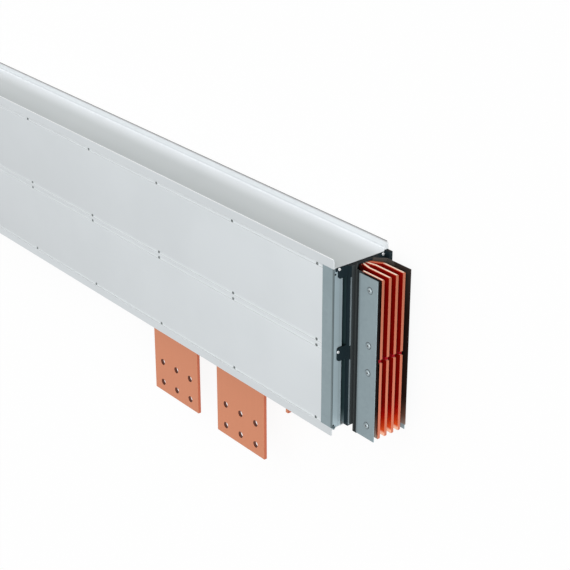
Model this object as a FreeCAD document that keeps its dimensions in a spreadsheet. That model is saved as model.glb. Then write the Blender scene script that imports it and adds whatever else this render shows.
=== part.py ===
"""Busway section with a joint end and connection lugs, lying on its back panel.

The run goes along X and its joint end points to +X.  Y is the height of the run as
it is hung, with the lugs pointing down to -Y.  Z is its width: the back panel lies on
Z = 0 and the front panel faces up.  Lengths are in millimetres.
"""
import FreeCAD, Part
import os
import re

import Sketcher

SIZES = {
    # housing
    "housing_length": 1500.0,
    "housing_width": 131.0,
    "top_flange_depth": 16.6,
    "bottom_flange_depth": 15.2,
    "cover_wall": 2.0,
    "leg_depth": 20.0,
    "channel_fillet": 4.0,
    "top_flange_corner": 6.0,
    "bottom_flange_corner": 3.0,
    "panel_wall": 2.0,
    "panel_setback": 30.0,
    "groove_width": 7.0,
    "groove_depth": 1.2,
    "groove_flank": 1.0,
    "edge_row_inset": 4.0,
    "middle_row_pitch": 12.2,
    "cap_wall": 2.0,
    "cap_skirt": 15.0,
    "cap_clearance": 0.3,
    # galvanised collar at the joint end
    "collar_wall": 2.0,
    "collar_return": 22.0,
    "collar_lip": 14.0,
    "collar_hole_radius": 2.0,
    "collar_hole_inset": 4.6,
    "collar_top_hole_drop": 11.0,
    "collar_low_hole_drop": 4.5,
    "collar_foot_reach": 8.0,
    "collar_foot_width": 11.0,
    # busbars
    "bar_count": 4.0,
    "bar_height": 157.5,
    "bar_thickness": 6.3,
    "bar_split": 6.0,
    "film_gap": 0.6,
    "bar_end_clearance": 1.5,
    "bar_end_inset": 25.0,
    "joint_pitch": 16.7,
    "joint_reach": 85.5,
    "flare_start": 8.0,
    "flare_length": 22.0,
    "bend_radius": 4.0,
    # plates that clamp the stack inside the housing and spread at the joint end
    "clamp_wall": 3.0,
    "clamp_film": 0.5,
    "clamp_flange": 14.7,
    "clamp_end_length": 32.0,
    "clamp_step_start": 26.0,
    "clamp_step_length": 16.0,
    "clamp_spread": 16.5,
    # black end shield, with slots for the ends of the clamp plates
    "shield_depth": 10.0,
    "shield_overlap": 1.5,
    "shield_skin": 1.2,
    "shield_slot_clearance": 0.3,
    "shield_window_side": 2.5,
    "shield_window_end": 0.5,
    "ear_wall": 3.0,
    "ear_inset": 9.5,
    "ear_depth": 22.0,
    "ear_radius": 5.0,
    "ear_hook_width": 6.0,
    "ear_hook_height": 6.0,
    "ear_block_inset": 2.5,
    "ear_block_width": 8.0,
    "ear_block_depth": 18.0,
    "ear_block_rise": 3.0,
    "ear_block_reach": 14.0,
    "tab_height": 28.0,
    "tab_drop": 10.3,
    # joint side plates and the black sheets under them
    "plate_wall": 1.5,
    "plate_length": 48.5,
    "plate_overhang": 0.5,
    "plate_reach": 86.5,
    "joint_side_gap": 7.3,
    "sheet_wall": 2.0,
    "sheet_flare_length": 17.0,
    "sheet_foot_step": 4.5,
    "sheet_overhang": 3.0,
    "sheet_reach": 90.0,
    "sheet_notch": 14.0,
    # comb between the upper and the lower bars
    "spacer_start": 32.0,
    "spacer_web": 5.0,
    "spacer_reach": 82.5,
    # connection lugs
    "lug_count": 2.0,
    "lug_width": 158.0,
    "lug_thickness": 7.0,
    "lug_drop": 199.2,
    "lug_setback": 345.0,
    "lug_pitch": 236.5,
    "lug_hole_radius": 7.0,
    "lug_hole_pitch": 50.0,
    "lug_hole_margin": 23.0,
    "lug_slot_clearance": 1.0,
    # earth terminal
    "earth_thickness": 7.0,
    "earth_width": 30.0,
    "earth_foot": 36.0,
    "earth_drop": 54.2,
    "earth_setback": 188.0,
    "earth_hole_radius": 5.5,
    "earth_hole_margin": 16.0,
}

# Lengths that follow from the sizes, each in terms of the ones above it.
DERIVED = {
    "joint_end": "(housing_length / 2)",
    "plain_end": "(-housing_length / 2)",
    "half_width": "(housing_width / 2)",
    "bars_half": "(bar_height + bar_split / 2)",
    "half_inner": "(bars_half + bar_end_clearance)",
    "bottom_tip": "(-half_inner - cover_wall - bottom_flange_depth)",
    "stack_pitch": "(bar_thickness + film_gap)",
    "stack_half": "(bar_count * stack_pitch / 2 - film_gap / 2)",
    "clamp_face": "(stack_half + clamp_film)",
    "clamp_end_in": "(clamp_face + clamp_spread)",
    "clamp_end_out": "(clamp_end_in + clamp_wall)",
    "slot_in": "(clamp_end_in - shield_slot_clearance)",
    "slot_out": "(clamp_end_out + shield_slot_clearance)",
    "window_half_width": "(stack_half + shield_window_side)",
    "shield_half_width": "(slot_out + shield_skin)",
    "shield_half_height": "(half_inner + shield_overlap)",
    "shield_face": "(joint_end + shield_depth)",
    "ear_low": "(shield_half_height - ear_depth)",
    "tab_high": "(-tab_drop + tab_height / 2)",
    "tab_low": "(-tab_drop - tab_height / 2)",
    "block_low": "(shield_half_height - ear_block_depth)",
    "block_high": "(shield_half_height + ear_block_rise)",
    "sheet_inner": "((bar_count - 1) / 2 * joint_pitch + bar_thickness / 2 + joint_side_gap)",
    "sheet_outer": "(sheet_inner + sheet_wall)",
    "sheet_foot": "(window_half_width + sheet_foot_step)",
    "sheet_half_height": "(half_inner + sheet_overhang)",
    "plate_start": "(joint_end + plate_reach - plate_length)",
    "lug_slot_half": "(lug_thickness / 2 + lug_slot_clearance)",
}

doc = FreeCAD.newDocument("busway_section")
sheet = doc.addObject("Spreadsheet::Sheet", "sizes")
for row, (name, size) in enumerate(SIZES.items(), 1):
    sheet.set(f"A{row}", name)
    sheet.set(f"B{row}", str(size))
    sheet.setAlias(f"B{row}", name)
doc.recompute()


def bound(text):
    """Expression text with every derived length written out and every size bound to the sheet."""
    for name in reversed(list(DERIVED)):
        text = re.sub(rf"\b{name}\b", DERIVED[name], text)
    return re.sub(r"\b[a-z]+(?:_[a-z]+)+\b",
                  lambda word: "sizes." + word.group() if word.group() in SIZES else word.group(), text)


def value(text):
    """The number that an expression text stands for."""
    return float(sheet.evalExpression(bound(text)))


parts = []


def new_body(label):
    body = doc.addObject("PartDesign::Body", label)
    body.Label = label
    parts.append(body)
    return body


def new_sketch(body, plane, offset):
    """A sketch on one of the body's origin planes, moved along that plane's normal."""
    sketch = body.newObject("Sketcher::SketchObject", body.Name + "_profile")
    origin_plane = next(item for item in body.Origin.OriginFeatures if item.Role == plane)
    sketch.AttachmentSupport = (origin_plane, [""])
    sketch.MapMode = "FlatFace"
    sketch.setExpression("AttachmentOffset.Base.z", bound(offset))
    return sketch


def pin(sketch, index, corner, place):
    """Ties one corner of the sketch to a pair of expressions."""
    for kind, text in zip(("DistanceX", "DistanceY"), place):
        constraint = sketch.addConstraint(Sketcher.Constraint(kind, -1, 1, index, corner, value(text)))
        sketch.setExpression(f"Constraints[{constraint}]", bound(text))


def draw_outline(sketch, points):
    """A closed outline of straight lines, with every corner tied to the sizes."""
    base = sketch.GeometryCount
    count = len(points)
    places = [FreeCAD.Vector(value(across), value(along), 0) for across, along in points]
    for index in range(count):
        sketch.addGeometry(Part.LineSegment(places[index], places[(index + 1) % count]))
    for index in range(count):
        following = base + (index + 1) % count
        sketch.addConstraint(Sketcher.Constraint("Coincident", base + index, 2, following, 1))
    for index, point in enumerate(points):
        pin(sketch, base + index, 1, point)


def draw_circle(sketch, place, radius):
    centre = FreeCAD.Vector(value(place[0]), value(place[1]), 0)
    index = sketch.addGeometry(Part.Circle(centre, FreeCAD.Vector(0, 0, 1), value(radius)))
    pin(sketch, index, 3, place)
    constraint = sketch.addConstraint(Sketcher.Constraint("Radius", index, value(radius)))
    sketch.setExpression(f"Constraints[{constraint}]", bound(radius))


def rectangle(low_across, high_across, low_along, high_along):
    return [(low_across, low_along), (high_across, low_along),
            (high_across, high_along), (low_across, high_along)]


def pad(body, plane, offset, points, length, midplane=False):
    sketch = new_sketch(body, plane, offset)
    draw_outline(sketch, points)
    feature = body.newObject("PartDesign::Pad", body.Name + "_pad")
    feature.Profile = sketch
    feature.Midplane = midplane
    feature.setExpression("Length", bound(length))
    body.Tip = feature
    doc.recompute()
    return feature


def cut(body, plane, offset, length, outlines=(), circles=()):
    """A pocket that reaches half of its length to each side of the sketch."""
    sketch = new_sketch(body, plane, offset)
    for points in outlines:
        draw_outline(sketch, points)
    for place, radius in circles:
        draw_circle(sketch, place, radius)
    feature = body.newObject("PartDesign::Pocket", body.Name + "_cut")
    feature.Profile = sketch
    feature.Midplane = True
    feature.setExpression("Length", bound(length))
    volume = body.Shape.Volume
    body.Tip = feature
    doc.recompute()
    if body.Shape.Volume >= volume:
        raise RuntimeError(body.Label + ": a pocket cut nothing")
    return feature


def round_edges(body, chosen, radius):
    """Fillets the edges of the body's last feature that the test picks."""
    base = body.Tip
    names = [f"Edge{number}" for number, edge in enumerate(base.Shape.Edges, 1) if chosen(edge)]
    feature = body.newObject("PartDesign::Fillet", body.Name + "_fillet")
    feature.Base = (base, names)
    feature.setExpression("Radius", bound(radius))
    body.Tip = feature
    doc.recompute()
    return feature


def runs_along(edge, axis):
    if edge.Curve.TypeId != "Part::GeomLine":
        return False
    direction = edge.Curve.Direction
    return abs(abs(direction[axis]) - 1) < 1e-6


def near(number, text):
    return abs(number - value(text)) < 1e-3


# Housing: two covers whose flanges stand out past their webs, and two grooved panels.

def cover_section(side, flange):
    """Outline of a cover in Y and Z: side is 1 for the top cover and -1 for the bottom one."""
    web_in = f"{side} * half_inner"
    web_out = f"{side} * (half_inner + cover_wall)"
    tip = f"{side} * (half_inner + cover_wall + {flange})"
    leg_end = f"{side} * (half_inner - leg_depth)"
    high = "housing_width"
    return [(tip, "0"), (tip, "cover_wall"), (web_out, "cover_wall"),
            (web_out, f"{high} - cover_wall"), (tip, f"{high} - cover_wall"), (tip, high),
            (web_in, high), (web_in, f"{high} - panel_wall"), (leg_end, f"{high} - panel_wall"),
            (leg_end, f"{high} - panel_wall - cover_wall"), (web_in, f"{high} - panel_wall - cover_wall"),
            (web_in, "panel_wall + cover_wall"), (leg_end, "panel_wall + cover_wall"),
            (leg_end, "panel_wall"), (web_in, "panel_wall"), (web_in, "0")]


def make_cover(label, side, flange, corner):
    body = new_body(label)
    pad(body, "YZ_Plane", "plain_end", cover_section(side, flange), "housing_length")
    web_out = f"{side} * (half_inner + cover_wall)"
    tip = f"{side} * (half_inner + cover_wall + {flange})"

    def channel_root(edge):
        middle = edge.CenterOfMass
        inside = near(middle.z, "cover_wall") or near(middle.z, "housing_width - cover_wall")
        return runs_along(edge, 0) and inside and near(middle.y, web_out)

    def flange_end(edge):
        return runs_along(edge, 2) and near(edge.CenterOfMass.y, tip)

    leg_sides = [("panel_wall", "panel_wall + cover_wall"),
                 ("housing_width - panel_wall - cover_wall", "housing_width - panel_wall")]
    cut(body, "YZ_Plane", "joint_end", "collar_lip * 2",
        outlines=[rectangle(f"{side} * (half_inner - leg_depth)", f"{side} * half_inner", low, high)
                  for low, high in leg_sides])
    round_edges(body, channel_root, "channel_fillet")
    round_edges(body, flange_end, corner)
    return body


def lug_place(number):
    return f"(joint_end - lug_setback - {lug_total - 1 - number} * lug_pitch)"


def bar_level(number, pitch):
    """Height over the floor of a bar's middle, counted from the front of the stack."""
    return f"(half_width + ({bar_total - 1} / 2 - {number}) * {pitch})"


bar_total = int(value("bar_count"))
lug_total = int(value("lug_count"))

make_cover("top_cover", 1, "top_flange_depth", "top_flange_corner")
bottom_cover = make_cover("bottom_cover", -1, "bottom_flange_depth", "bottom_flange_corner")

# Each lug goes with its own bar: the lug next to the joint end with the front bar.
lug_bar = [lug_total - 1 - number for number in range(lug_total)]
for number in range(lug_total):
    middle = lug_place(number)
    level = bar_level(lug_bar[number], "stack_pitch")
    slot = rectangle(f"{middle} - lug_width / 2 - lug_slot_clearance",
                     f"{middle} + lug_width / 2 + lug_slot_clearance",
                     f"{level} - lug_slot_half", f"{level} + lug_slot_half")
    cut(bottom_cover, "XZ_Plane", "half_inner + cover_wall / 2", "cover_wall * 2", outlines=[slot])


def panel_section(outer, inner):
    """Outline of a side panel in Y and Z, with a groove along each row of rivets."""
    face = outer
    floor = f"{outer} + ({inner} - {outer}) / panel_wall * groove_depth"
    rows = ["-half_inner + edge_row_inset", "-middle_row_pitch / 2",
            "middle_row_pitch / 2", "half_inner - edge_row_inset"]
    points = [("-half_inner", inner), ("-half_inner", face)]
    for row in rows:
        points += [(f"{row} - groove_width / 2", face),
                   (f"{row} - groove_width / 2 + groove_flank", floor),
                   (f"{row} + groove_width / 2 - groove_flank", floor),
                   (f"{row} + groove_width / 2", face)]
    return points + [("half_inner", face), ("half_inner", inner)]


for label, outer, inner in (("front_panel", "housing_width", "(housing_width - panel_wall)"),
                            ("back_panel", "0", "panel_wall")):
    pad(new_body(label), "YZ_Plane", "plain_end", panel_section(outer, inner),
        "housing_length - panel_setback")

end_cap = new_body("end_cap")
cap_half = "(half_inner - cap_clearance)"
cap_low = "(panel_wall + cover_wall + cap_clearance)"
pad(end_cap, "YZ_Plane", "plain_end",
    rectangle(f"-{cap_half}", cap_half, cap_low, f"housing_width - {cap_low}"), "cap_skirt")
cut(end_cap, "YZ_Plane", "plain_end + cap_wall + cap_skirt", "cap_skirt * 2",
    outlines=[rectangle(f"-{cap_half} + cap_wall", f"{cap_half} - cap_wall",
                        f"{cap_low} + cap_wall", f"housing_width - {cap_low} - cap_wall")])


# Joint end: collars, clamp plates, end shield, bars, spacer, sheets and side plates.

def mirrored_level(side, depth):
    """Height over the floor of a point that lies a depth under the front or the back face."""
    return f"(housing_width - {depth})" if side == "front" else f"({depth})"


def bent_strip(start, first, second, end, level, joint_level, wall):
    """Outline in X and Z of a strip that steps from one level to another between two bends."""
    ease = f"{wall} / 2 * tan(atan(({joint_level} - {level}) / ({second} - ({first}))) / 2)"
    over = f"{wall} / 2"
    return [(start, f"{level} - {over}"), (f"{first} + {ease}", f"{level} - {over}"),
            (f"{second} + {ease}", f"{joint_level} - {over}"), (end, f"{joint_level} - {over}"),
            (end, f"{joint_level} + {over}"), (f"{second} - {ease}", f"{joint_level} + {over}"),
            (f"{first} - {ease}", f"{level} + {over}"), (start, f"{level} + {over}")]


for side in ("front", "back"):
    body = new_body(side + "_collar")
    face = mirrored_level(side, "0")
    face_in = mirrored_level(side, "collar_wall")
    lip_in = mirrored_level(side, "(collar_return - collar_wall)")
    lip_out = mirrored_level(side, "collar_return")
    outline = [("joint_end - panel_setback", face), ("joint_end", face), ("joint_end", lip_out),
               ("joint_end - collar_lip", lip_out), ("joint_end - collar_lip", lip_in),
               ("joint_end - collar_wall", lip_in), ("joint_end - collar_wall", face_in),
               ("joint_end - panel_setback", face_in)]
    pad(body, "XZ_Plane", "0", outline, "half_inner * 2", midplane=True)
    foot = [("joint_end", face), ("joint_end + collar_foot_reach", face),
            ("joint_end", mirrored_level(side, "collar_foot_width"))]
    pad(body, "XZ_Plane", "half_inner - collar_wall / 2", foot, "collar_wall", midplane=True)
    hole_level = mirrored_level(side, "collar_hole_inset")
    cut(body, "YZ_Plane", "joint_end", "collar_wall * 3",
        circles=[((hole, hole_level), "collar_hole_radius")
                 for hole in ("half_inner - collar_top_hole_drop", "-half_inner + collar_low_hole_drop")])

for side, sign in (("front", "1"), ("back", "-1")):
    body = new_body(side + "_clamp_plate")
    web_in = f"half_width + {sign} * clamp_face"
    web_out = f"half_width + {sign} * (clamp_face + clamp_wall)"
    rim = f"half_width + {sign} * (clamp_face + clamp_wall + clamp_flange)"
    section = [("-half_inner", rim), ("-half_inner", web_in), ("half_inner", web_in), ("half_inner", rim),
               ("half_inner - clamp_wall", rim), ("half_inner - clamp_wall", web_out),
               ("-half_inner + clamp_wall", web_out), ("-half_inner + clamp_wall", rim)]
    pad(body, "YZ_Plane", "plain_end + bar_end_inset", section,
        "housing_length - bar_end_inset - clamp_end_length")
    end_level = f"(half_width + {sign} * (clamp_end_in + clamp_wall / 2))"
    end = bent_strip("joint_end - clamp_end_length", "joint_end - clamp_step_start",
                     "joint_end - clamp_step_start + clamp_step_length", "shield_face",
                     f"(half_width + {sign} * (clamp_face + clamp_wall / 2))", end_level, "clamp_wall")
    pad(body, "XZ_Plane", "0", end, "half_inner * 2", midplane=True)
    notch_start = "joint_end - shield_slot_clearance"
    notch_end = "shield_face + clamp_wall"
    notches = [rectangle(notch_start, notch_end, "tab_low - shield_slot_clearance",
                         "tab_high + shield_slot_clearance"),
               rectangle(notch_start, notch_end, "ear_low - shield_slot_clearance",
                         "half_inner + clamp_wall")]
    cut(body, "XY_Plane", end_level, "clamp_wall * 2", outlines=notches)

# The shield is a deep frame with two thin bands across it: the ears and the middle tab.
end_shield = new_body("end_shield")
for low, high, reach, depth in (
        ("-shield_half_height", "shield_half_height", "shield_half_width", "shield_depth"),
        ("ear_low", "shield_half_height", "(half_width - ear_inset)", "ear_wall"),
        ("tab_low", "tab_high", "(half_width - ear_inset)", "ear_wall")):
    pad(end_shield, "YZ_Plane", "joint_end",
        rectangle(low, high, f"half_width - {reach}", f"half_width + {reach}"), depth)


def ear_corner(edge):
    middle = edge.CenterOfMass
    at_side = near(middle.z, "ear_inset") or near(middle.z, "housing_width - ear_inset")
    at_corner = any(near(middle.y, height) for height in ("ear_low", "tab_low", "tab_high"))
    return runs_along(edge, 0) and at_side and at_corner


round_edges(end_shield, ear_corner, "ear_radius")
front_hook = rectangle("shield_half_height - ear_hook_height", "shield_half_height",
                       "housing_width - ear_inset", "housing_width - ear_inset + ear_hook_width")
pad(end_shield, "YZ_Plane", "joint_end", front_hook, "ear_wall")
back_block = rectangle("block_low", "block_high", "ear_block_inset", "ear_block_inset + ear_block_width")
pad(end_shield, "YZ_Plane", "joint_end", back_block, "ear_block_reach")
window = rectangle("-bars_half - shield_window_end", "bars_half + shield_window_end",
                   "half_width - window_half_width", "half_width + window_half_width")
slots = [rectangle(low, high, f"half_width + {sign} * slot_in", f"half_width + {sign} * slot_out")
         for sign in ("1", "-1")
         for low, high in (("-half_inner - shield_slot_clearance", "tab_low"), ("tab_high", "ear_low"))]
cut(end_shield, "YZ_Plane", "joint_end", "shield_depth * 3", outlines=[window] + slots)

for number in range(bar_total):
    outline = bent_strip("plain_end + bar_end_inset", "joint_end + flare_start",
                         "joint_end + flare_start + flare_length", "joint_end + joint_reach",
                         bar_level(number, "stack_pitch"), bar_level(number, "joint_pitch"),
                         "bar_thickness")
    for half, sign in (("upper", "-1"), ("lower", "1")):
        body = new_body(f"busbar_{number + 1}_{half}")
        pad(body, "XZ_Plane", f"{sign} * (bar_split + bar_height) / 2", outline, "bar_height",
            midplane=True)

        def bend_edge(edge):
            middle = edge.CenterOfMass
            flare = value("joint_end + flare_start"), value("joint_end + flare_start + flare_length")
            close = min(abs(middle.x - place) for place in flare)
            return runs_along(edge, 1) and close < value("bar_thickness")

        round_edges(body, bend_edge, "bend_radius")

spacer = new_body("bar_spacer")
web_end = "joint_end + spacer_start + spacer_web"
pad(spacer, "XZ_Plane", "0",
    rectangle("joint_end + spacer_start", web_end, "half_width - sheet_inner", "half_width + sheet_inner"),
    "bar_split", midplane=True)
for number in range(bar_total):
    level = bar_level(number, "joint_pitch")
    pad(spacer, "XZ_Plane", "0",
        rectangle(web_end, "joint_end + spacer_reach",
                  f"{level} - bar_thickness / 2", f"{level} + bar_thickness / 2"),
        "bar_split", midplane=True)

for side, sign in (("front", "1"), ("back", "-1")):
    body = new_body(side + "_joint_sheet")
    inner = f"half_width + {sign} * sheet_inner"
    outer = f"half_width + {sign} * sheet_outer"
    slope = "atan((sheet_outer - sheet_foot) / sheet_flare_length)"
    bend = "(shield_face + sheet_flare_length)"
    reach = "joint_end + sheet_reach"
    outline = [("shield_face", f"half_width + {sign} * sheet_foot"), (bend, outer), (reach, outer),
               (reach, inner), (f"{bend} + sheet_wall * tan({slope} / 2)", inner),
               ("shield_face", f"half_width + {sign} * (sheet_foot - sheet_wall / cos({slope}))")]
    pad(body, "XZ_Plane", "0", outline, "sheet_half_height * 2", midplane=True)
    cut(body, "XY_Plane", f"half_width + {sign} * (sheet_inner + sheet_wall / 2)", "sheet_wall * 2",
        outlines=[rectangle("plate_start", "joint_end + sheet_reach + sheet_wall",
                            "-sheet_half_height - sheet_wall", "-sheet_half_height + sheet_notch")])
    plate = new_body(side + "_joint_plate")
    plate_face = f"half_width + {sign} * (sheet_outer + plate_wall)"
    pad(plate, "XZ_Plane", "0", rectangle("plate_start", "joint_end + plate_reach", outer, plate_face),
        "(half_inner + plate_overhang) * 2", midplane=True)


# Lugs and the earth terminal under the housing.

for number in range(lug_total):
    body = new_body(f"lug_{number + 1}")
    middle = lug_place(number)
    level = bar_level(lug_bar[number], "stack_pitch")
    low = "(bottom_tip - lug_drop)"
    pad(body, "XY_Plane", level,
        rectangle(f"{middle} - lug_width / 2", f"{middle} + lug_width / 2", low, "-bars_half"),
        "lug_thickness", midplane=True)
    holes = [(f"{middle} + {column} * lug_hole_pitch", f"{low} + lug_hole_margin + {line} * lug_hole_pitch")
             for column in (-1, 0, 1) for line in (0, 1)]
    cut(body, "XY_Plane", level, "lug_thickness * 2",
        circles=[(hole, "lug_hole_radius") for hole in holes])

earth = new_body("earth_terminal")
web_under = "(-half_inner - cover_wall)"
earth_low = "(bottom_tip - earth_drop)"
earth_face = "(joint_end - earth_setback)"
pad(earth, "XY_Plane", "half_width",
    [(f"{earth_face} - earth_foot", web_under), (earth_face, web_under), (earth_face, earth_low),
     (f"{earth_face} - earth_thickness", earth_low),
     (f"{earth_face} - earth_thickness", f"{web_under} - earth_thickness"),
     (f"{earth_face} - earth_foot", f"{web_under} - earth_thickness")],
    "earth_width", midplane=True)
cut(earth, "YZ_Plane", earth_face, "earth_thickness * 3",
    circles=[((f"{earth_low} + earth_hole_margin", "half_width"), "earth_hole_radius")])


doc.recompute()
for item in doc.Objects:
    if "Invalid" in item.State or "Error" in item.State:
        raise RuntimeError(item.Label + " did not build: " + str(item.State))
os.makedirs("parts", exist_ok=True)
for body in parts:
    shape = body.Shape
    if shape.isNull() or not shape.isValid():
        raise RuntimeError(body.Label + " has no valid shape")
    shape.exportStep(f"parts/{body.Label}.step")
    box = shape.BoundBox
    low = [round(number, 1) for number in (box.XMin, box.YMin, box.ZMin)]
    high = [round(number, 1) for number in (box.XMax, box.YMax, box.ZMax)]
    print(f"{body.Label}: {len(shape.Solids)} solid, {shape.Volume / 1000:.1f} cm3, from {low} to {high}")
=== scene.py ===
"""Finishes, fasteners, light and camera of the busway section, lying on its back panel.

Lengths are in metres.  The run goes along X with its joint end at +X, Y is its height as it is
hung and Z its width, so the front panel faces up and the lugs point to -Y.
"""

import math

import bmesh
import bpy
from mathutils import Matrix, Vector


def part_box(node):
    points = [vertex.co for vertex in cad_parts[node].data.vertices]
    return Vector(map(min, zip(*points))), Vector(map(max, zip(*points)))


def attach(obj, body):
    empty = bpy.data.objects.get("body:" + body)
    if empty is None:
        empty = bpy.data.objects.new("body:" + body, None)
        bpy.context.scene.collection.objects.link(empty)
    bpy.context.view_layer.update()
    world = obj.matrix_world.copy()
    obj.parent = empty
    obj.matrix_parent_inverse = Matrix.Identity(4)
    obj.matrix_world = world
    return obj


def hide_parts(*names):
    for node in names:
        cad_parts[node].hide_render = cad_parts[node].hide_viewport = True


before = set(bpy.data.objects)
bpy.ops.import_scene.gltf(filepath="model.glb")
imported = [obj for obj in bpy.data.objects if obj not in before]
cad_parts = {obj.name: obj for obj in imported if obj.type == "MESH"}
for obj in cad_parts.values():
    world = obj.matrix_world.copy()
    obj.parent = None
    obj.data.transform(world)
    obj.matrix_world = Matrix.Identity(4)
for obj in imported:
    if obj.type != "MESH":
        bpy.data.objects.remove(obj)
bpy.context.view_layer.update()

MM = 0.001
BODY = "root"

# Places taken from the frame: the housing's end, the middle of its width and the front bar's outer face
JOINT_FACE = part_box("top_cover")[1].x
MIDDLE_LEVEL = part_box("front_panel")[1].z / 2
FRONT_BAR_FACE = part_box("busbar_1_lower")[1].z

# Picture: the camera stands where the photograph was taken from, in the part's own frame
CAMERA_PLACE = Vector((2.6139, 1.3118, 1.7652))
CAMERA_RIGHT = Vector((0.6328, 0.0, -0.7743))
CAMERA_UP = Vector((-0.3329, 0.9029, -0.2720))
CAMERA_LENS = 97.86
CAMERA_REACH = 100
SENSOR_WIDTH = 36.0

# Light: an even sky, and two broad lamps, each with the direction that its light comes from, its
# strength and its angle in degrees
SKY_LEVEL = 0.40
KEY_LIGHT = ((1.00, 0.25, 0.72), 2.2, 50)
TOP_LIGHT = ((0.00, 0.80, 0.80), 0.60, 60)

# Floor: half its width, the grey that it lights the part with, and how much of its shadow shows
FLOOR_HALF = 8.0
FLOOR_COLOUR = 0.85
SHADOW_SHARE = 0.10

# Rivets of the panels, which stand in grooves; a hole is a share of its head's radius
RIVET_PITCH = 250 * MM
FIRST_RIVET = 16 * MM
LAST_RIVET = 45 * MM
EDGE_ROW_INSET = 4 * MM
MIDDLE_ROW_PITCH = 12.2 * MM
GROOVE_DEPTH = 1.2 * MM
PANEL_RIVET_RADIUS = 3.3 * MM
PANEL_RIVET_RISE = 0.95 * GROOVE_DEPTH
PANEL_RIVET_HOLE = 0.45

# Rivets of the joint plates
PLATE_RIVET_INSET = 20 * MM
PLATE_RIVET_HEIGHTS = (137.6 * MM, 29.0 * MM, -25.9 * MM, -135.1 * MM)
PLATE_RIVET_RADIUS = 7.2 * MM
PLATE_RIVET_RISE = 1.8 * MM
PLATE_RIVET_HOLE = 0.24

# Screws of the end shield's ears and middle tab
EAR_WALL = 3 * MM
SCREW_RADIUS = 2.7 * MM
SCREW_RISE = 1.6 * MM
EAR_SCREW_INSET = 1.2 * MM
TAB_SCREW_HEIGHT = -4.5 * MM
FRONT_SCREW_LEVEL = 120.5 * MM
BACK_SCREW_LEVEL = 16 * MM

# Corners of the round heads, and the materials of a head's parts in their order on its mesh
RIVET_CORNERS = 20
SCREW_CORNERS = 24
SOCKET_CORNERS = 6
BRIM, DOME, HOLLOW, RIM = range(4)

# Edge softness of the sheet metal, the copper and the mouldings
SHEET_EDGE = 0.4 * MM
BENT_EDGE = 1.8 * MM
COPPER_EDGE = 0.6 * MM
ROLLED_EDGE = 1.8 * MM
MOULDED_EDGE = 0.8 * MM

# Angles in degrees: below the first, faces lie flat; above the others, edges are broken or look sharp
FLAT_ANGLE = 0.5
BROKEN_ANGLE = 32
SHARP_ANGLE = 35
HEAD_SHARP_ANGLE = 50

# Measures that pick out doubled points, the collars' long bends, the bars' rims by facing, and the
# walls of holes by their area in square metres
WELD_DISTANCE = 0.001 * MM
LONG_BEND = 100 * MM
BEND_TOLERANCE = 0.1 * MM
RIM_FACING = 0.9
HOLE_WALL_AREA = 20 * MM * MM

# Each pair below says where a change of finish starts and where it is complete.
# Covers: the channel floor, painted darker as shade but for a strip of painted light along the far
# flange; the far flange, painted lighter as light, with its greyer top; the rims, darker at the back
# and with a painted highlight at the front; and a painted highlight on the bends, by facing
FLOOR_BELOW = (170 * MM, 169 * MM)
LIT_STRIP = (-5 * MM, 50 * MM)
NEAR_SHADE = (30 * MM, 131 * MM)
NEAR_SHADE_SHARE = 0.2
FLANGE_ABOVE = (166 * MM, 170 * MM)
FLANGE_WITHIN = (12 * MM, 8 * MM)
GREY_TOP_ABOVE = (177 * MM, 178 * MM)
RIM_ABOVE = (179.5 * MM, 180 * MM)
RIM_CLEARS = (20 * MM, 40 * MM)
BEND_HIGHLIGHT_FACING = (0.15, 0.40)

# Panels: the painted highlight along a groove, and how far it sits below the rivets
GROOVE_HIGHLIGHT = (4.5 * MM, 0)
GROOVE_HIGHLIGHT_DROP = 1.5 * MM

# Collars: the bend's corner, as run plus distance from the middle level, the painted shade beside it,
# and the crease in the return, with painted shade along it, as distance from the middle level
BEND_CORNER = JOINT_FACE + MIDDLE_LEVEL
BEND_LINE = BEND_CORNER - 3.2 * MM
BEND_STARTS = (BEND_LINE, BEND_LINE + 1 * MM)
BEND_ENDS = (BEND_CORNER + 1 * MM, BEND_CORNER)
COLLAR_CREASE = 49.5 * MM
CREASE_LINE = (2 * MM, 0.5 * MM)

# Joint plates: the shade at the root, which the collars, ending before it, don't have
ROOT_SHADE_ENDS = (787 * MM, 795 * MM)
BEFORE_ROOT = (767 * MM, 757 * MM)

# Clamp plates: the end outside the housing, and inside it the painted shade and the foot, lighter with
# painted light
CLAMP_OUTSIDE = (JOINT_FACE - 3 * MM, JOINT_FACE + 3 * MM)
CLAMP_FOOT = (-120 * MM, -170 * MM)

# Bars: painted light from below, red and then orange, on the broad faces towards the lit tip, the
# deeper colour of the ends, lighter below with painted light, painted shade on the front bar's outer
# face and flare, and the edges, in painted shade up to a slanted line and bare beyond it
BAR_GLOW = (-88 * MM, -150 * MM)
BAR_ORANGE_BELOW = (-110 * MM, -146 * MM)
BAR_LIT_TIP = (-149 * MM, -155 * MM)
BAR_ENDS_LIT_BELOW = (150 * MM, -130 * MM)
OUTER_FACE = (FRONT_BAR_FACE - 0.6 * MM, FRONT_BAR_FACE - 0.2 * MM)
OUTER_FACE_GLOW = 0.4
FLARE_BEFORE = (785 * MM, 781 * MM)
FRONT_BARS = (75 * MM, 80 * MM)
EDGE_SHADE = (45 * MM, 75 * MM)
EDGE_FACING = (0.94, 0.985)
BARE_BEYOND = (753 * MM, 756 * MM)
BARE_SLANT = 1.15

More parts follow.
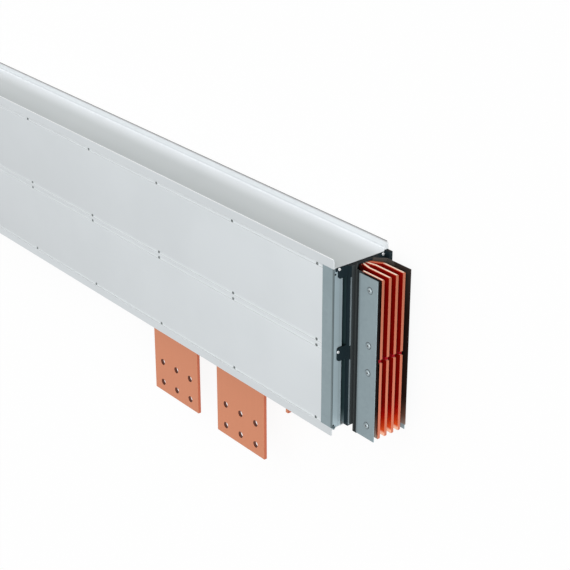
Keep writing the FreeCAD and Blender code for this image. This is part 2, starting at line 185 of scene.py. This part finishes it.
# Black sheets: the flare at the root with a painted shadow under the joint plate's edge, the front one
# of the two, the lighter upper part of the back one, and the foot, painted with light that is first
# warm and then grey
SHEET_FLARE = (800 * MM, 796 * MM)
PLATE_SHADOW_RUN = 783.5 * MM
PLATE_SHADOW_LINE = (2.2 * MM, 0.8 * MM)
SHEET_IN_FRONT = (MIDDLE_LEVEL - 10 * MM, MIDDLE_LEVEL + 10 * MM)
SHEET_LIGHTER_ABOVE = (60 * MM, 150 * MM)
SHEET_GLOW = (-90 * MM, -162 * MM)
SHEET_FOOT = (-128 * MM, -156 * MM)

# End shield: the grey band beside the clamp plate, and the upper faces, painted dark as shade by facing
GREY_BAND_BELOW = (97.5 * MM, 96.5 * MM)
GREY_BAND_ABOVE = (80 * MM, 84 * MM)
UPPER_FACING = (0.3, 0.7)


# Colours, as linear red, green and blue.  A pair holds the two tones of a surface.

def rgb(red, green, blue):
    return (red, green, blue, 1.0)


PAINT = (rgb(0.620, 0.657, 0.677), rgb(0.650, 0.687, 0.707))
# Painted highlight on the bends and other slanted faces
BEND_HIGHLIGHT_PAINT = rgb(0.76, 0.79, 0.81)
# Painted highlight along the panels' grooves
GROOVE_HIGHLIGHT_PAINT = rgb(0.71, 0.75, 0.77)
# Far flange, painted lighter as light
LIT_FLANGE_PAINT = rgb(0.80, 0.83, 0.85)
# Greyer along the top of the far flange
GREY_FLANGE_TOP_PAINT = rgb(0.60, 0.60, 0.61)
# Channel floor: painted light along the far flange, painted shade over the rest
CHANNEL = (rgb(0.93, 0.965, 0.99), rgb(0.488, 0.523, 0.525))
# Rims: darker at the back, with a painted highlight at the front
RIMS = (rgb(0.20, 0.205, 0.21), rgb(0.90, 0.92, 0.93))

ZINC = (rgb(0.230, 0.295, 0.320), rgb(0.270, 0.340, 0.365))
# Painted light on faces that look along the run
ZINC_LIT_ENDS = rgb(0.40, 0.50, 0.54)
# Painted shade along the crease in the collars' returns
ZINC_CREASE_SHADE = rgb(0.35, 0.44, 0.475)
# Painted shade beside the collars' bends
ZINC_BEND_SHADE = rgb(0.13, 0.17, 0.18)
# Painted shade at the root of the joint plates
ZINC_ROOT_SHADE = rgb(0.155, 0.195, 0.21)
# Clamp plate inside the housing: painted shade, and painted light towards its foot
ZINC_INSIDE_SHADE_AND_LIGHT = (rgb(0.034, 0.072, 0.080), rgb(0.30, 0.40, 0.43))
ZINC_OUTSIDE = rgb(0.32, 0.39, 0.42)

# Ends of the bars; painted light makes them lighter towards the foot
BAR_ENDS = (rgb(0.475, 0.160, 0.092), rgb(0.670, 0.220, 0.136))
BARE_EDGES = (rgb(1.0, 0.70, 0.54), rgb(1.0, 0.80, 0.66))
# Painted shade on the bars' edges inside the shield
SHADED_EDGES = (rgb(0.42, 0.10, 0.05), rgb(0.05, 0.008, 0.006))
# Deep red of the bars' broad faces
BROAD_FACE_RED = (rgb(0.46, 0.006, 0.002), rgb(0.38, 0.003, 0.002))
# Painted shade on the front bar's outer face
OUTER_FACE_SHADE = rgb(0.020, 0.003, 0.002)
# Painted light from below on the broad faces, red and then orange
LIGHT_FROM_BELOW = (rgb(0.88, 0.006, 0.002), rgb(0.80, 0.110, 0.014))
# Painted light at the tip of the broad faces
LIT_TIP = rgb(1.0, 0.60, 0.42)
FLARE_SHADE = rgb(0.025, 0.004, 0.003)
LUG_FACE = (rgb(0.61, 0.225, 0.115), rgb(0.66, 0.255, 0.135))
# Painted shade on the lugs' sides
LUG_SIDE_SHADE = rgb(0.52, 0.14, 0.07)

MOULDING = (rgb(0.010, 0.020, 0.025), rgb(0.015, 0.027, 0.033))
MOULDING_BAND = rgb(0.072, 0.085, 0.088)
# Painted shade on the shield's upper faces
MOULDING_TOP_SHADE = rgb(0.004, 0.006, 0.007)
# Back sheet: darker below and lighter above
BACK_SHEET = (rgb(0.018, 0.009, 0.007), rgb(0.036, 0.028, 0.024))
FRONT_SHEET = rgb(0.003, 0.001, 0.001)
# Painted light at the sheets' foot, first warm from the bars and then grey
SHEET_FOOT_LIGHT = (rgb(0.19, 0.090, 0.062), rgb(0.30, 0.24, 0.20))
FLARED_SHEETS = (rgb(0.076, 0.069, 0.061), rgb(0.036, 0.041, 0.041))
# Painted shadow under the joint plate's edge
PLATE_EDGE_SHADOW = rgb(0.010, 0.014, 0.016)
SHEET_LINES = rgb(0.010, 0.008, 0.008)
RED_BOARD = (rgb(0.22, 0.002, 0.007), rgb(0.36, 0.003, 0.012))


# Materials

class Wire:
    """An output socket of a finish: arithmetic on it adds Math nodes."""

    def __init__(self, finish, socket):
        self.finish = finish
        self.socket = socket

    def math(self, operation, *others):
        inputs = dict(enumerate((self,) + others))
        return self.finish.add("ShaderNodeMath", {"operation": operation}, inputs)

    def __add__(self, other):
        return self.math("ADD", other)

    def __sub__(self, other):
        return self.math("SUBTRACT", other)

    def __mul__(self, other):
        return self.math("MULTIPLY", other)

    def __abs__(self):
        return self.math("ABSOLUTE")

    def __rsub__(self, other):
        return self * -1 + other

    __radd__ = __add__
    __rmul__ = __mul__


class Finish:
    """A node tree under construction, with one method that adds any node."""

    def __init__(self, owner):
        owner.use_nodes = True
        self.owner = owner
        self.tree = owner.node_tree
        self.tree.nodes.clear()

    def add(self, kind, settings=None, inputs=None, output=0):
        node = self.tree.nodes.new(kind)
        for name, setting in (settings or {}).items():
            setattr(node, name, setting)
        for name, given in (inputs or {}).items():
            if isinstance(given, Wire):
                self.tree.links.new(given.socket, node.inputs[name])
            else:
                node.inputs[name].default_value = given
        return Wire(self, node.outputs[output]) if node.outputs else None

    def place(self, stretch=(1, 1, 1)):
        """Object coordinates, drawn out along the axes with a small stretch."""
        spot = self.add("ShaderNodeTexCoord", output="Object")
        return self.add("ShaderNodeVectorMath", {"operation": "MULTIPLY"}, {0: spot, 1: stretch})

    def axis(self, source, letter):
        """One part of the object coordinates ("Object") or of the surface's direction ("Normal")."""
        spot = self.add("ShaderNodeTexCoord", output=source)
        return self.add("ShaderNodeSeparateXYZ", None, {"Vector": spot}, output=letter)

    def axes(self, source, letters="XYZ"):
        return [self.axis(source, letter) for letter in letters]

    def noise(self, scale, detail, stretch=(1, 1, 1)):
        return self.add("ShaderNodeTexNoise", None,
                        {"Vector": self.place(stretch), "Scale": scale, "Detail": detail})

    def ramp(self, factor, low, high):
        """0 at low and 1 at high, with an eased rise between them."""
        return self.add("ShaderNodeMapRange", {"interpolation_type": "SMOOTHSTEP"},
                        {"Value": factor, "From Min": low, "From Max": high})

    def patches(self, scale, detail, low=0.3, high=0.7):
        """Noise with its middle levels drawn out to the whole span from 0 to 1."""
        return self.ramp(self.noise(scale, detail), low, high)

    def facing(self, part, start=0.5, full=0.9):
        """1 on faces that look along an axis and 0 on the others, from that part of their direction."""
        return self.ramp(part, start, full)

    def mix(self, factor, first, second):
        return self.add("ShaderNodeMix", {"data_type": "RGBA"}, {0: factor, 6: first, 7: second}, output=2)

    def bump(self, height, depth):
        return self.add("ShaderNodeBump", None, {"Height": height, "Distance": depth})

    def surface(self, inputs):
        shader = self.add("ShaderNodeBsdfPrincipled", None, inputs)
        self.add("ShaderNodeOutputMaterial", None, {"Surface": shader})
        return self.owner


def new_finish(name):
    return Finish(bpy.data.materials.new(name))


def make_white_paint(name, grooves=()):
    """Satin powder coat: fine orange peel, slow changes of tone, and painted shade on the channel floor
    with a strip of painted light along the far flange.

    A painted highlight makes the paint lighter along the grooves, which are given by their heights.
    """
    finish = new_finish(name)
    cloud = finish.patches(scale=5, detail=3)
    peel = finish.noise(scale=520, detail=1)
    height, level = finish.axes("Object", "YZ")
    upward, forward = finish.axes("Normal", "YZ")

    colour = finish.mix(cloud, *PAINT)
    # The far flange is painted lighter as light
    far_flange = finish.ramp(height, *FLANGE_ABOVE) * finish.ramp(level, *FLANGE_WITHIN)
    colour = finish.mix(far_flange, colour, LIT_FLANGE_PAINT)
    # Greyer along the top of the far flange
    grey_top = far_flange * finish.ramp(height, *GREY_TOP_ABOVE)
    colour = finish.mix(grey_top, colour, GREY_FLANGE_TOP_PAINT)
    # A painted highlight along each groove, just below its rivets
    for groove in grooves:
        groove_highlight = finish.ramp(abs(height - groove + GROOVE_HIGHLIGHT_DROP), *GROOVE_HIGHLIGHT)
        colour = finish.mix(groove_highlight, colour, GROOVE_HIGHLIGHT_PAINT)
    # Painted highlight on faces that slant between up and forward, such as the bends
    bend = finish.ramp(abs(upward) * abs(forward), *BEND_HIGHLIGHT_FACING)
    colour = finish.mix(bend, colour, BEND_HIGHLIGHT_PAINT)

    # The channel floor: a strip of painted light along the far flange and painted shade over the rest
    shade_past_strip = finish.ramp(level, *LIT_STRIP) * (1 - NEAR_SHADE_SHARE)
    shade_towards_front = finish.ramp(level, *NEAR_SHADE) * NEAR_SHADE_SHARE
    on_floor = finish.facing(upward, start=0.3) * finish.ramp(height, *FLOOR_BELOW)
    colour = finish.mix(on_floor, colour, finish.mix(shade_past_strip + shade_towards_front, *CHANNEL))
    # The flanges' rims: darker at the back, with a painted highlight at the front
    rim = finish.mix(finish.ramp(level, *RIM_CLEARS), *RIMS)
    colour = finish.mix(finish.ramp(height, *RIM_ABOVE), colour, rim)
    return finish.surface({"Base Color": colour, "Roughness": 0.36 + cloud * 0.10,
                           "Normal": finish.bump(peel, depth=0.05 * MM)})


def zinc_crystals(finish):
    """A random tone for each crystal of the zinc coat."""
    crystals = finish.add("ShaderNodeTexVoronoi", None, {"Vector": finish.place(), "Scale": 130},
                          output="Color")
    return finish.add("ShaderNodeSeparateColor", None, {"Color": crystals})


def zinc_surface(finish, colour, tone):
    """Zinc of the given colour whose gloss and relief follow the crystals' tone."""
    return finish.surface({"Base Color": colour, "Metallic": 0.3, "Roughness": 0.42 + tone * 0.12,
                           "Normal": finish.bump(tone, depth=0.02 * MM)})


def make_galvanised():
    """Zinc-coated sheet, with painted light on faces that look along the run.

    Painted shade darkens it along the collars' bends and crease and at the root of the joint plates.
    """
    finish = new_finish("galvanised_zinc")
    tone = zinc_crystals(finish)
    cloud = finish.patches(scale=14, detail=4)
    run, level = finish.axes("Object", "XZ")
    from_middle = abs(level - MIDDLE_LEVEL)
    end_on = finish.facing(finish.axis("Normal", "X"), start=0.6, full=0.95)

    colour = finish.mix(tone * 0.6 + cloud * 0.4, *ZINC)
    # Painted light on faces that look along the run
    colour = finish.mix(end_on, colour, ZINC_LIT_ENDS)
    corner = run + from_middle
    # Painted shade beside the collars' bends
    bend = finish.ramp(corner, *BEND_STARTS) * finish.ramp(corner, *BEND_ENDS)
    colour = finish.mix(bend, colour, ZINC_BEND_SHADE)
    # Painted shade at the root of the joint plates
    off_root = finish.ramp(run, *ROOT_SHADE_ENDS) + finish.ramp(run, *BEFORE_ROOT)
    colour = finish.mix(off_root, ZINC_ROOT_SHADE, colour)
    # Painted shade along the crease in the collars' returns
    crease = finish.ramp(abs(from_middle - COLLAR_CREASE), *CREASE_LINE) * end_on
    colour = finish.mix(crease, colour, ZINC_CREASE_SHADE)
    return zinc_surface(finish, colour, tone)


def make_inside_shaded_zinc():
    """Zinc-coated sheet, painted dark as shade where it lies inside the housing, with painted light on its
    foot.
    """
    finish = new_finish("galvanised_zinc_shaded_inside")
    run, height = finish.axes("Object", "XY")
    # Inside the housing the plate is painted dark as shade, and lighter towards its foot as painted light
    foot = finish.ramp(height, *CLAMP_FOOT)
    inside = finish.mix(foot * foot, *ZINC_INSIDE_SHADE_AND_LIGHT)
    colour = finish.mix(finish.ramp(run, *CLAMP_OUTSIDE), inside, ZINC_OUTSIDE)
    return zinc_surface(finish, colour, zinc_crystals(finish))


def make_bar_copper():
    """Copper bars: sawn edges and satin ends, deep red broad faces, painted light from below towards the
    foot, and painted shade on the front bar and the edges.
    """
    finish = new_finish("copper_bar")
    lines = finish.noise(scale=1, detail=3, stretch=(6, 420, 420))
    patches = finish.patches(scale=9, detail=4, low=0.35, high=0.75)
    run, height, level = finish.axes("Object")
    up, forward = finish.axes("Normal", "YZ")

    # Painted shade on the front bar's outer face
    outer = finish.ramp(level, *OUTER_FACE) * finish.facing(forward)
    broad_face_red = finish.mix(outer, finish.mix(patches, *BROAD_FACE_RED), OUTER_FACE_SHADE)
    # Painted light from below on the broad faces, strongest at the tip
    light_from_below = finish.mix(finish.ramp(height, *BAR_ORANGE_BELOW), *LIGHT_FROM_BELOW)
    light_from_below = finish.mix(finish.ramp(height, *BAR_LIT_TIP), light_from_below, LIT_TIP)
    glow = finish.ramp(height, *BAR_GLOW) * (1 - outer * (1 - OUTER_FACE_GLOW))
    broad = finish.mix(glow, broad_face_red, light_from_below)
    # Painted light makes the ends lighter towards the foot
    low = finish.ramp(height, *BAR_ENDS_LIT_BELOW)
    ends = finish.mix(lines * 0.3 + low * 0.7, *BAR_ENDS)
    colour = finish.mix(finish.facing(abs(forward)), ends, broad)

    # The edges: bare copper beyond a slanted line, painted shade before it
    on_edge = finish.ramp(abs(up), *EDGE_FACING)
    bare = finish.ramp(run - abs(level - MIDDLE_LEVEL) * BARE_SLANT, *BARE_BEYOND)
    shaded_edges = finish.mix(finish.ramp(level, *EDGE_SHADE), *SHADED_EDGES)
    edges = finish.mix(bare, shaded_edges, finish.mix(lines, *BARE_EDGES))
    colour = finish.mix(on_edge, colour, edges)
    flare = finish.ramp(run, *FLARE_BEFORE) * finish.ramp(level, *FRONT_BARS)
    colour = finish.mix(flare, colour, FLARE_SHADE)
    # Where shade is painted, on the edges and the flare, the copper loses its metal gloss
    painted_shade_mask = (on_edge * (1 - bare)).math("MAXIMUM", flare)
    return finish.surface({"Base Color": colour, "Metallic": 0.6 - painted_shade_mask * 0.6,
                           "Roughness": 0.42 + patches * 0.12, "Specular IOR Level": 0.0,
                           "Normal": finish.bump(lines, depth=0.03 * MM)})


def make_lug_copper():
    """Lugs: satin copper with fine lines down the face, and sides painted darker and deeper in colour as
    shade.
    """
    finish = new_finish("copper_lug")
    lines = finish.noise(scale=1, detail=3, stretch=(420, 6, 420))
    patches = finish.patches(scale=9, detail=4, low=0.35, high=0.75)
    face = finish.mix(lines * 0.6 + patches * 0.4, *LUG_FACE)
    forward = abs(finish.axis("Normal", "Z"))
    # The sides are painted darker and deeper in colour as shade
    colour = finish.mix(finish.facing(forward), LUG_SIDE_SHADE, face)
    return finish.surface({"Base Color": colour, "Metallic": 0.5, "Roughness": 0.42 + patches * 0.08,
                           "Normal": finish.bump(lines, depth=0.02 * MM)})


def make_black_moulding():
    """Moulded plastic with a fine eroded texture and a greyer band beside the clamp plate."""
    finish = new_finish("black_moulded_plastic")
    grain = finish.noise(scale=900, detail=2)
    cloud = finish.noise(scale=20, detail=3)
    level = finish.axis("Object", "Z")
    along, up = finish.axes("Normal", "XY")
    in_band = finish.ramp(level, *GREY_BAND_BELOW) * finish.ramp(level, *GREY_BAND_ABOVE)
    colour = finish.mix(finish.facing(along) * in_band, finish.mix(cloud, *MOULDING), MOULDING_BAND)
    # The upper faces are painted dark as shade
    colour = finish.mix(finish.ramp(up, *UPPER_FACING), colour, MOULDING_TOP_SHADE)
    return finish.surface({"Base Color": colour, "Roughness": 0.50 + cloud * 0.14,
                           "Specular IOR Level": 0.1, "Normal": finish.bump(grain, depth=0.04 * MM)})


def make_black_sheet():
    """Smooth insulating sheet with faint lines from the roll, painted light from the bars at its foot and
    a painted shadow under the joint plate's edge.
    """
    finish = new_finish("black_insulating_sheet")
    lines = finish.noise(scale=1, detail=3, stretch=(40, 900, 900))
    run, height, level = finish.axes("Object")
    front = finish.ramp(level, *SHEET_IN_FRONT)

    # The back sheet is lighter towards its top
    back = finish.mix(finish.ramp(height, *SHEET_LIGHTER_ABOVE), *BACK_SHEET)
    flat = finish.mix(front, back, FRONT_SHEET)
    # Painted light at the foot, first warm from the bars and then grey
    foot = finish.mix(finish.ramp(height, *SHEET_FOOT), *SHEET_FOOT_LIGHT)
    flat = finish.mix(finish.ramp(height, *SHEET_GLOW), flat, foot)
    flared = finish.mix(front, *FLARED_SHEETS)
    colour = finish.mix(finish.ramp(run, *SHEET_FLARE), flat, flared)
    # A painted shadow along the front sheet under the joint plate's edge
    plate_shadow = finish.ramp(abs(run - PLATE_SHADOW_RUN), *PLATE_SHADOW_LINE) * front
    colour = finish.mix(plate_shadow, colour, PLATE_EDGE_SHADOW)
    colour = finish.mix(lines * 0.15, colour, SHEET_LINES)
    return finish.surface({"Base Color": colour, "Roughness": 0.40 + lines * 0.12,
                           "Specular IOR Level": 0.05, "Normal": finish.bump(lines, depth=0.02 * MM)})


def make_board():
    """Red glass-filled insulating board with short fibres."""
    finish = new_finish("red_insulating_board")
    fibres = finish.noise(scale=1, detail=4, stretch=(220, 900, 420))
    return finish.surface({"Base Color": finish.mix(fibres, *RED_BOARD), "Roughness": 0.55,
                           "Specular IOR Level": 0.1, "Normal": finish.bump(fibres, depth=0.05 * MM)})


def make_plain(name, dark, bright, metallic):
    """Metal of one colour with fine cloudy changes of tone."""
    finish = new_finish(name)
    cloud = finish.noise(scale=700, detail=2)
    return finish.surface({"Base Color": finish.mix(cloud, dark, bright), "Metallic": metallic,
                           "Roughness": 0.26 + cloud * 0.10})


def rivet_rows(node):
    """Heights of a panel's four rows of rivets."""
    low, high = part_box(node)
    middle_row = MIDDLE_ROW_PITCH / 2
    return high.y - EDGE_ROW_INSET, middle_row, -middle_row, low.y + EDGE_ROW_INSET


COVER_PAINT = make_white_paint("white_powder_coat")
PANEL_PAINT = make_white_paint("white_powder_coat_grooved", rivet_rows("front_panel"))
GALVANISED = make_galvanised()
INSIDE_SHADED_ZINC = make_inside_shaded_zinc()
BAR_COPPER = make_bar_copper()
LUG_COPPER = make_lug_copper()
BLACK_MOULDING = make_black_moulding()
BLACK_SHEET = make_black_sheet()
BOARD = make_board()
# Painted shade in the walls of the lugs' holes
HOLE_COPPER = make_plain("shaded_copper", rgb(0.10, 0.022, 0.008), rgb(0.14, 0.035, 0.014), 0.3)
BRIGHT_STEEL = make_plain("bright_plated_steel", rgb(0.90, 0.93, 0.94), rgb(0.96, 0.98, 0.99), 0.2)
PLATED_STEEL = make_plain("plated_rivet_steel", rgb(0.29, 0.34, 0.36), rgb(0.41, 0.47, 0.49), 0.5)
DULL_STEEL = make_plain("dull_rivet_steel", rgb(0.13, 0.15, 0.15), rgb(0.21, 0.24, 0.24), 0.4)
# Painted shade for sunk hollows, the ring round the joint plates' rivets and the collars' holes
SHADE_STEEL = make_plain("painted_shade_steel", rgb(0.03, 0.035, 0.04), rgb(0.06, 0.07, 0.075), 0.3)


# Pieces

def new_piece(name, form, materials, slot):
    """A finished mesh that rides on the busway, from a bmesh."""
    mesh = bpy.data.meshes.new(name)
    form.to_mesh(mesh)
    form.free()
    for material in materials:
        mesh.materials.append(material)
    piece = bpy.data.objects.new(name, mesh)
    bpy.context.scene.collection.objects.link(piece)
    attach(piece, BODY)
    return piece


def shade_by_angle(piece, degrees):
    piece.data.polygons.foreach_set("use_smooth", [True] * len(piece.data.polygons))
    piece.data.set_sharp_from_angle(angle=math.radians(degrees))


def soften(node, materials, slot, width, wide_width=None, wide=None):
    """The CAD node's own shape with its sharp edges broken, in place of the node.

    The edges that the test picks are broken by the wide width.  Small faces, which are the walls of
    holes, take the second material, which paints shade in them.
    """
    form = bmesh.new()
    form.from_mesh(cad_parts[node].data)
    bmesh.ops.remove_doubles(form, verts=form.verts, dist=WELD_DISTANCE)
    bmesh.ops.dissolve_limit(form, angle_limit=math.radians(FLAT_ANGLE), verts=form.verts,
                             edges=form.edges)
    weights = form.edges.layers.float.new("bevel_weight_edge")
    broadest = wide_width or width
    for edge in form.edges:
        if edge.is_manifold and edge.calc_face_angle() > math.radians(BROKEN_ANGLE):
            edge[weights] = 1 if wide and wide(edge) else width / broadest
    if len(materials) > 1:
        for face in form.faces:
            face.material_index = int(face.calc_area() < HOLE_WALL_AREA)
    piece = new_piece(node + "_softened", form, materials, slot)
    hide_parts(node)
    bevel = piece.modifiers.new("broken edges", "BEVEL")
    bevel.width = broadest
    bevel.segments = 3 if wide else 2
    bevel.limit_method = "WEIGHT"
    bevel.harden_normals = True
    shade_by_angle(piece, SHARP_ANGLE)


def is_bend(edge):
    """The collar's long bends, at the joint end."""
    start, end = [corner.co for corner in edge.verts]
    return abs(start.y - end.y) > LONG_BEND and min(start.x, end.x) > JOINT_FACE - BEND_TOLERANCE


def is_rolled(edge):
    """The upper and lower rims of a bar."""
    return any(abs(face.normal.y) > RIM_FACING for face in edge.link_faces)


def dress(node, material):
    """Gives a CAD node that keeps its own mesh a finish."""
    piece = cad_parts[node]
    piece.data.materials.clear()
    piece.data.materials.append(material)


BARS = [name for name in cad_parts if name.startswith("busbar_")]
LUGS = [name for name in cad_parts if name.startswith("lug_")]
SOFTENED = (
    (("top_cover", "bottom_cover", "end_cap"), [COVER_PAINT], "white_paint", SHEET_EDGE),
    (("front_panel", "back_panel"), [PANEL_PAINT], "white_paint", SHEET_EDGE),
    (("front_collar", "back_collar"), [GALVANISED, SHADE_STEEL], "galvanised_sheet",
     SHEET_EDGE, BENT_EDGE, is_bend),
    (("front_joint_plate", "back_joint_plate"), [GALVANISED], "galvanised_sheet", SHEET_EDGE),
    (("end_shield",), [BLACK_MOULDING], "black_moulding", MOULDED_EDGE),
    (("front_joint_sheet", "back_joint_sheet"), [BLACK_SHEET], "black_sheet", SHEET_EDGE),
    (("bar_spacer",), [BOARD], "insulating_board", SHEET_EDGE),
    (BARS, [BAR_COPPER], "copper", COPPER_EDGE, ROLLED_EDGE, is_rolled),
    (LUGS, [LUG_COPPER, HOLE_COPPER], "copper", COPPER_EDGE),
    (("earth_terminal",), [LUG_COPPER], "copper", COPPER_EDGE),
)
for nodes, *how in SOFTENED:
    for node in nodes:
        soften(node, *how)
for node in ("front_clamp_plate", "back_clamp_plate"):
    dress(node, INSIDE_SHADED_ZINC)


def stacked(radius, height, rings):
    """A closed form of rings, from (corners, share of the radius, share of the height, material).

    The material is that of the band between a ring and the one before it.
    """
    form = bmesh.new()
    below = None
    for count, wide, high, material in rings:
        ring = [form.verts.new((radius * wide * math.cos(math.tau * step / count),
                                radius * wide * math.sin(math.tau * step / count), height * high))
                for step in range(count)]
        outline = [form.edges.new((corner, ring[step - 1])) for step, corner in enumerate(ring)]
        if below is None:
            faces = bmesh.ops.contextual_create(form, geom=outline)["faces"]
        else:
            faces = bmesh.ops.bridge_loops(form, edges=below + outline)["faces"]
        for face in faces:
            face.material_index = material
        below = outline
    for face in bmesh.ops.contextual_create(form, geom=below)["faces"]:
        face.material_index = material
    bmesh.ops.recalc_face_normals(form, faces=form.faces)
    return form


def rivet_head(radius, height, hole):
    """A domed blind rivet head on a thin brim, with the broken mandrel sunk in its hole."""
    return stacked(radius, height, [
        (RIVET_CORNERS, 1.00, 0.00, BRIM),
        (RIVET_CORNERS, 0.86, 0.25, RIM),
        (RIVET_CORNERS, 0.66, 0.30, BRIM),
        (RIVET_CORNERS, 0.60, 0.75, DOME),
        (RIVET_CORNERS, 0.42, 1.00, DOME),
        (RIVET_CORNERS, hole, 1.00, DOME),
        (RIVET_CORNERS, hole * 0.9, 0.50, HOLLOW)])


def screw_head(radius, height):
    """A cap head with a hexagon sunk in its middle."""
    return stacked(radius, height, [
        (SCREW_CORNERS, 1.00, 0.00, DOME),
        (SCREW_CORNERS, 1.00, 0.70, DOME),
        (SCREW_CORNERS, 0.88, 1.00, DOME),
        (SOCKET_CORNERS, 0.32, 1.00, DOME),
        (SOCKET_CORNERS, 0.32, 0.40, HOLLOW)])


def fasten(name, head, places, materials):
    """One mesh of the same head at each of the places, which are matrices."""
    joined = bmesh.new()
    single = bpy.data.meshes.new(name + "_single")
    head.to_mesh(single)
    head.free()
    for place in places:
        start = len(joined.verts)
        joined.from_mesh(single)
        joined.verts.ensure_lookup_table()
        bmesh.ops.transform(joined, matrix=place, verts=joined.verts[start:])
    bpy.data.meshes.remove(single)
    piece = new_piece(name, joined, materials, "galvanised_sheet")
    shade_by_angle(piece, HEAD_SHARP_ANGLE)


def upright(x, y, z):
    return Matrix.Translation((x, y, z))


def upside_down(x, y, z):
    return Matrix.Translation((x, y, z)) @ Matrix.Rotation(math.pi, 4, "X")


def along_run(x, y, z):
    return Matrix.Translation((x, y, z)) @ Matrix.Rotation(math.pi / 2, 4, "Y")


def rivet_columns(low, high):
    """Distances along the run: every pitch from the joint end, and one at the plain end."""
    columns = []
    place = high - FIRST_RIVET
    while place > low + LAST_RIVET + RIVET_PITCH / 4:
        columns.append(place)
        place -= RIVET_PITCH
    return columns + [low + LAST_RIVET]


def rivet_panel(node, facing, level):
    low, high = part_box(node)
    places = [facing(column, row, level)
              for column in rivet_columns(low.x, high.x) for row in rivet_rows(node)]
    head = rivet_head(PANEL_RIVET_RADIUS, PANEL_RIVET_RISE, PANEL_RIVET_HOLE)
    fasten(node + "_rivets", head, places, [DULL_STEEL, DULL_STEEL, SHADE_STEEL, DULL_STEEL])


def rivet_joint_plate(node, facing, level):
    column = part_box(node)[1].x - PLATE_RIVET_INSET
    places = [facing(column, height, level) for height in PLATE_RIVET_HEIGHTS]
    head = rivet_head(PLATE_RIVET_RADIUS, PLATE_RIVET_RISE, PLATE_RIVET_HOLE)
    # The last material paints a shadow round each rivet's brim
    fasten(node + "_rivets", head, places, [GALVANISED, PLATED_STEEL, SHADE_STEEL, SHADE_STEEL])


def screw_shield(face, ear_height):
    """Screws in the front ear, in the middle tab and in the back ear."""
    places = [along_run(face, ear_height, FRONT_SCREW_LEVEL),
              along_run(face, TAB_SCREW_HEIGHT, FRONT_SCREW_LEVEL),
              along_run(face, ear_height, BACK_SCREW_LEVEL)]
    fasten("shield_screws", screw_head(SCREW_RADIUS, SCREW_RISE), places,
           [GALVANISED, BRIGHT_STEEL, SHADE_STEEL])


rivet_panel("front_panel", upright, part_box("front_panel")[1].z - GROOVE_DEPTH)
rivet_panel("back_panel", upside_down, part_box("back_panel")[0].z + GROOVE_DEPTH)
rivet_joint_plate("front_joint_plate", upright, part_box("front_joint_plate")[1].z)
rivet_joint_plate("back_joint_plate", upside_down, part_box("back_joint_plate")[0].z)
screw_shield(JOINT_FACE + EAR_WALL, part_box("front_collar")[1].y - EAR_SCREW_INSET)


# Floor, light and camera

def seen(finish):
    """1 for rays that show a surface directly, in a mirror or through glass."""
    camera, glossy, through = [finish.add("ShaderNodeLightPath", output=name)
                               for name in ("Is Camera Ray", "Is Glossy Ray", "Is Transmission Ray")]
    return camera.math("MAXIMUM", glossy).math("MAXIMUM", through)


def make_floor():
    """A plain pale floor that looks white where it is seen or mirrored and still takes shadows."""
    form = bmesh.new()
    bmesh.ops.create_grid(form, x_segments=1, y_segments=1, size=FLOOR_HALF)
    mesh = bpy.data.meshes.new("floor")
    form.to_mesh(mesh)
    form.free()
    floor = bpy.data.objects.new("floor", mesh)
    bpy.context.scene.collection.objects.link(floor)
    finish = new_finish("pale_floor")
    shown = seen(finish)
    grey = finish.mix(shown, rgb(FLOOR_COLOUR, FLOOR_COLOUR, FLOOR_COLOUR), rgb(1, 1, 1))
    lit = finish.add("ShaderNodeBsdfDiffuse", None, {"Color": grey})
    white = finish.add("ShaderNodeEmission", None, {"Color": rgb(1, 1, 1), "Strength": 1.0})
    shader = finish.add("ShaderNodeMixShader", None, {0: shown * (1 - SHADOW_SHARE), 1: lit, 2: white})
    finish.add("ShaderNodeOutputMaterial", None, {"Surface": shader})
    mesh.materials.append(finish.owner)


def make_sky():
    """An even sky that lights the part plainly and looks white where it is seen or mirrored."""
    world = bpy.data.worlds.new("studio")
    bpy.context.scene.world = world
    finish = Finish(world)
    level = finish.mix(seen(finish), rgb(SKY_LEVEL, SKY_LEVEL, SKY_LEVEL), rgb(1, 1, 1))
    shader = finish.add("ShaderNodeBackground", None, {"Color": level, "Strength": 1.0})
    finish.add("ShaderNodeOutputWorld", None, {"Surface": shader})


def make_sun(name, towards, strength, angle):
    """A broad, even lamp whose light comes from the given direction."""
    lamp = bpy.data.lights.new(name, "SUN")
    lamp.energy = strength
    lamp.angle = math.radians(angle)
    sun = bpy.data.objects.new(name, lamp)
    sun.rotation_mode = "QUATERNION"
    sun.rotation_quaternion = Vector(towards).to_track_quat("Z", "Y")
    bpy.context.scene.collection.objects.link(sun)


def make_camera():
    lens = bpy.data.cameras.new("camera")
    lens.lens = CAMERA_LENS
    lens.sensor_width = SENSOR_WIDTH
    lens.clip_end = CAMERA_REACH
    camera = bpy.data.objects.new("camera", lens)
    back = CAMERA_RIGHT.cross(CAMERA_UP)
    turn = Matrix((CAMERA_RIGHT, CAMERA_UP, back)).transposed()
    camera.matrix_world = Matrix.Translation(CAMERA_PLACE) @ turn.to_4x4()
    bpy.context.scene.collection.objects.link(camera)
    bpy.context.scene.camera = camera


make_floor()
make_sky()
make_sun("key", *KEY_LIGHT)
make_sun("top", *TOP_LIGHT)
make_camera()

scene = bpy.context.scene
scene.view_settings.view_transform = "Standard"
